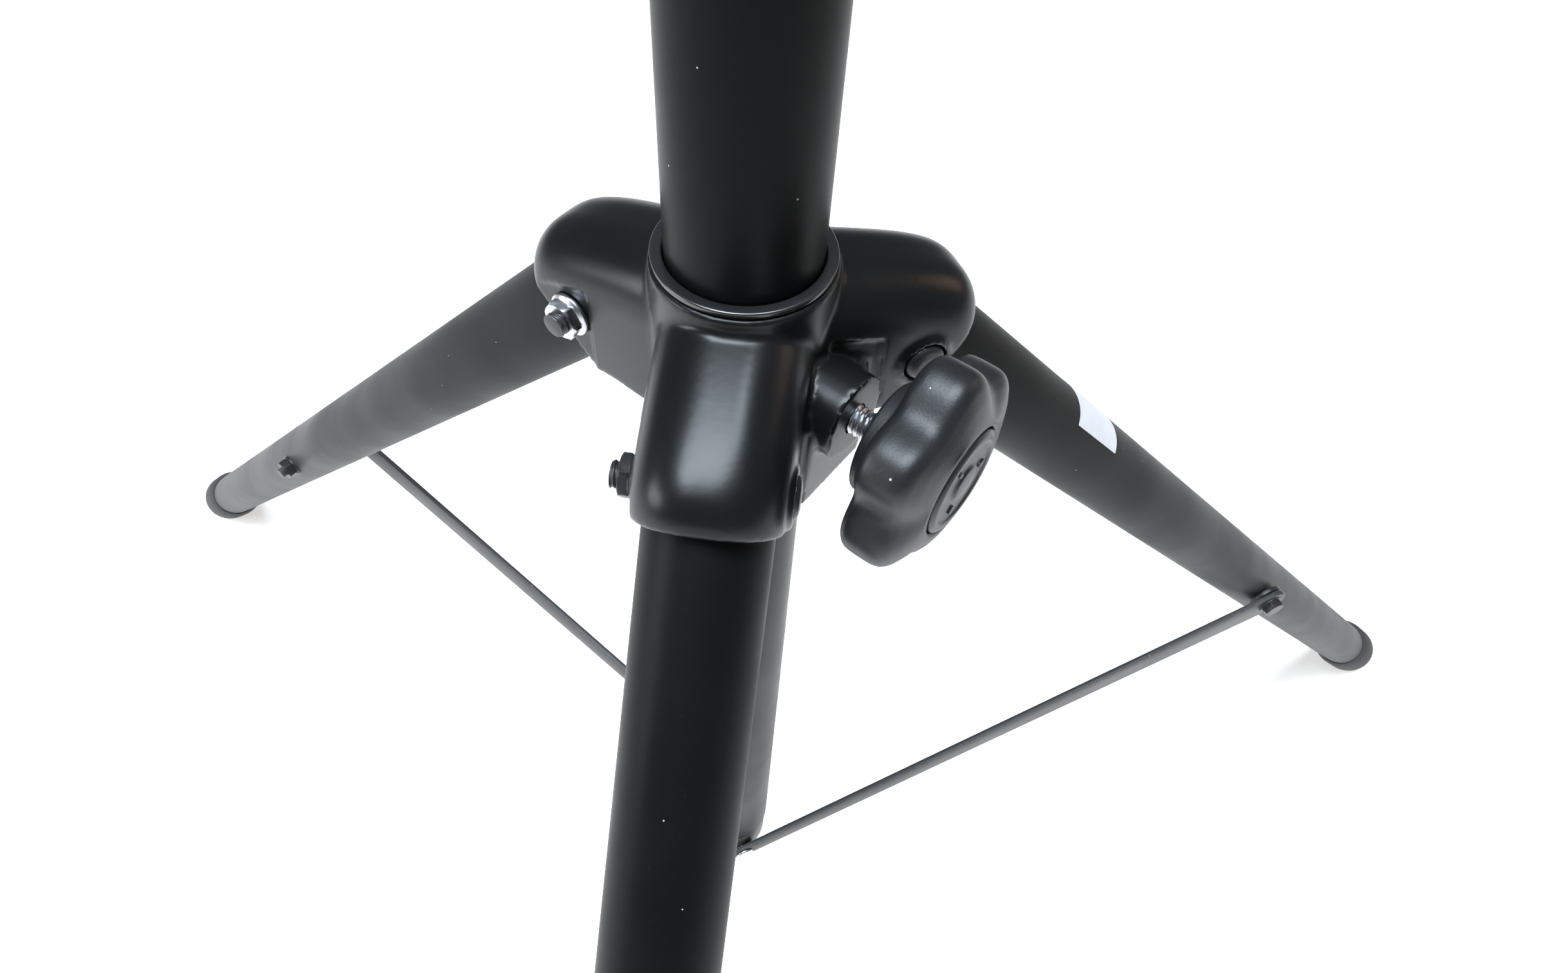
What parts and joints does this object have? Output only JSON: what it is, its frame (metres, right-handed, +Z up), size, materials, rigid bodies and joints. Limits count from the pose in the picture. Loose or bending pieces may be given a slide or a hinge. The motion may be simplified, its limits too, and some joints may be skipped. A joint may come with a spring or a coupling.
{
  "type": "speaker tripod stand",
  "caption": "Folding tripod stand for a loudspeaker: telescopic round pole, sliding cast leg collar, tube legs with flat steel braces, rubber feet and clamping knobs.",
  "frame": {"origin": "centre of the flat underside of the pole's bottom plug, on the pole's axis", "axes": "+Z up along the pole; -Y along the front leg; +X to the right of it"},
  "size_m": [0.9704, 0.8454, 1.1475],
  "materials": {
    "pole_black": "satin black powder coat",
    "leg_black": "satin black powder coat, lighter",
    "cast_black": "satin black coated casting",
    "plastic_black": "satin black moulding",
    "rubber_black": "matt black rubber",
    "steel_black": "black coated steel",
    "zinc": "bright zinc plate",
    "chrome": "chrome plate"
  },
  "bodies": {
    "mast": {"main_tube": "pole_black", "base_plug": "plastic_black", "clutch_housing": "cast_black", "clutch_bush": "plastic_black", "hub_pin_front": "zinc", "hub_pin_right": "zinc", "hub_pin_left": "zinc"},
    "collar": {"leg_collar": "cast_black", "collar_bush_top": "plastic_black", "collar_bush_bottom": "plastic_black", "leg_bolt_front": "steel_black", "leg_bolt_right": "steel_black", "leg_bolt_left": "steel_black", "leg_nut_front": "steel_black", "leg_nut_right": "zinc", "leg_nut_left": "zinc"},
    "mast_inner": {"inner_tube": "pole_black", "top_cap": "plastic_black", "inner_guide": "plastic_black"},
    "safety_pin": {"safety_pin": "chrome"},
    "collar_pad": {"collar_pad": "plastic_black"},
    "collar_knob": {"collar_knob": "plastic_black", "collar_knob_cap": "plastic_black", "collar_screw": "zinc"},
    "upper_pad": {"upper_pad": "plastic_black"},
    "upper_knob": {"upper_knob": "plastic_black", "upper_knob_cap": "plastic_black", "upper_screw": "zinc"},
    "leg_front": {"leg_tube_front": "leg_black", "leg_plug_front": "plastic_black", "foot_front": "rubber_black", "leg_stud_front": "zinc"},
    "brace_front": {"brace_front": "steel_black", "brace_bolt_front": "steel_black", "brace_spacer_front": "plastic_black"},
    "leg_right": {"leg_tube_right": "leg_black", "leg_plug_right": "plastic_black", "foot_right": "rubber_black", "leg_stud_right": "zinc"},
    "brace_right": {"brace_right": "steel_black", "brace_bolt_right": "steel_black", "brace_spacer_right": "plastic_black"},
    "leg_left": {"leg_tube_left": "leg_black", "leg_plug_left": "plastic_black", "foot_left": "rubber_black", "leg_stud_left": "zinc"},
    "brace_left": {"brace_left": "steel_black", "brace_bolt_left": "steel_black", "brace_spacer_left": "plastic_black"}
  },
  "joints": [
    {"name": "collar_slide", "type": "slide", "parent": "mast", "child": "collar", "axis": [0, 0, 1], "range_m": [0, 0.3556]},
    {"name": "leg_front_fold", "type": "hinge", "parent": "collar", "child": "leg_front", "pos_m": [0, -0.04401, 0.35404], "axis": [1, 0, 0], "range_deg": [0, 43.3]},
    {"name": "leg_right_fold", "type": "hinge", "parent": "collar", "child": "leg_right", "pos_m": [0.03811, 0.022, 0.35404], "axis": [-0.5, 0.866, 0], "range_deg": [0, 43.3]},
    {"name": "leg_left_fold", "type": "hinge", "parent": "collar", "child": "leg_left", "pos_m": [-0.03811, 0.022, 0.35404], "axis": [-0.5, -0.866, 0], "range_deg": [0, 43.3]},
    {"name": "brace_front_fold", "type": "hinge", "parent": "mast", "child": "brace_front", "pos_m": [-0.0207, 0, 0.0085], "axis": [-1, 0, 0], "range_deg": [0, 70.56]},
    {"name": "brace_right_fold", "type": "hinge", "parent": "mast", "child": "brace_right", "pos_m": [0.01035, -0.01793, 0.0085], "axis": [0.5, -0.866, 0], "range_deg": [0, 70.56]},
    {"name": "brace_left_fold", "type": "hinge", "parent": "mast", "child": "brace_left", "pos_m": [0.01035, 0.01793, 0.0085], "axis": [0.5, 0.866, 0], "range_deg": [0, 70.56]},
    {"name": "inner_slide", "type": "slide", "parent": "mast", "child": "mast_inner", "axis": [0, 0, 1], "range_m": [0, 0.48]},
    {"name": "safety_pin_pull", "type": "slide", "parent": "mast_inner", "child": "safety_pin", "axis": [1, 0, 0], "range_m": [0, 0.05]},
    {"name": "collar_pad_slide", "type": "slide", "parent": "collar", "child": "collar_pad", "axis": [0.866, -0.5, 0], "range_m": [0, 0.0031]},
    {"name": "collar_knob_turn", "type": "hinge", "parent": "collar_pad", "child": "collar_knob", "pos_m": [0.0381, -0.022, 0.355], "axis": [0.866, -0.5, 0], "range_deg": [0, 720]},
    {"name": "upper_pad_slide", "type": "slide", "parent": "mast", "child": "upper_pad", "axis": [0.866, -0.5, 0], "range_m": [0, 0.0031]},
    {"name": "upper_knob_turn", "type": "hinge", "parent": "upper_pad", "child": "upper_knob", "pos_m": [0.0407, -0.0235, 0.798], "axis": [0.866, -0.5, 0], "range_deg": [0, 720]}
  ],
  "couplings": [
    {"joint": "leg_front_fold", "follows": "collar_slide", "rad_per_m": 2.1233},
    {"joint": "leg_right_fold", "follows": "collar_slide", "rad_per_m": 2.1233},
    {"joint": "leg_left_fold", "follows": "collar_slide", "rad_per_m": 2.1233},
    {"joint": "brace_front_fold", "follows": "collar_slide", "rad_per_m": 3.4609},
    {"joint": "brace_right_fold", "follows": "collar_slide", "rad_per_m": 3.4609},
    {"joint": "brace_left_fold", "follows": "collar_slide", "rad_per_m": 3.4609},
    {"joint": "collar_pad_slide", "follows": "collar_knob_turn", "m_per_rad": 0.00023873},
    {"joint": "upper_pad_slide", "follows": "upper_knob_turn", "m_per_rad": 0.00023873}
  ]
}
